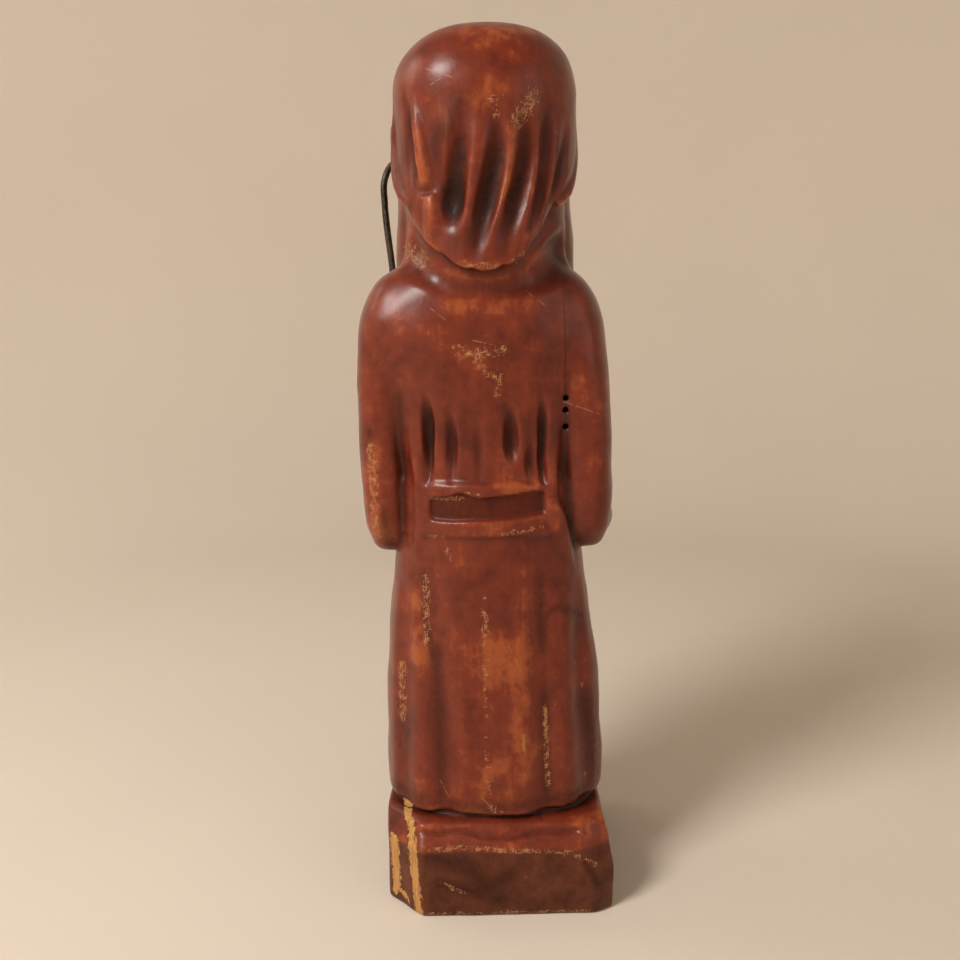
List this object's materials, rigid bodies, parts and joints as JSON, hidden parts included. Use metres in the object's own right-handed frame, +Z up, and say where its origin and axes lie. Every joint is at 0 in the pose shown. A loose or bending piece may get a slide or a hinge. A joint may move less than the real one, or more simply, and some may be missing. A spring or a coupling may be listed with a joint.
{
  "type": "carved wooden figure",
  "caption": "Carved and varnished wooden standing figure of a robed, bearded man on a low plinth, one hand on his belt, holding a bent steel wire crook.",
  "frame": {"origin": "middle of the plinth's underside, on the surface that the figure stands on", "axes": "+Z up along the figure, +Y towards its back, +X towards its left hand, which holds the crook"},
  "size_m": [0.1112, 0.1031, 0.3767],
  "materials": {
    "varnished_wood": "glossy red-brown varnish over carved wood, grime in the hollows, worn pale on some edges",
    "worn_steel": "dull grey wire with dark spots"
  },
  "bodies": {
    "root": {"carved_figure": "varnished_wood", "wire_crook": "worn_steel"}
  },
  "joints": []
}
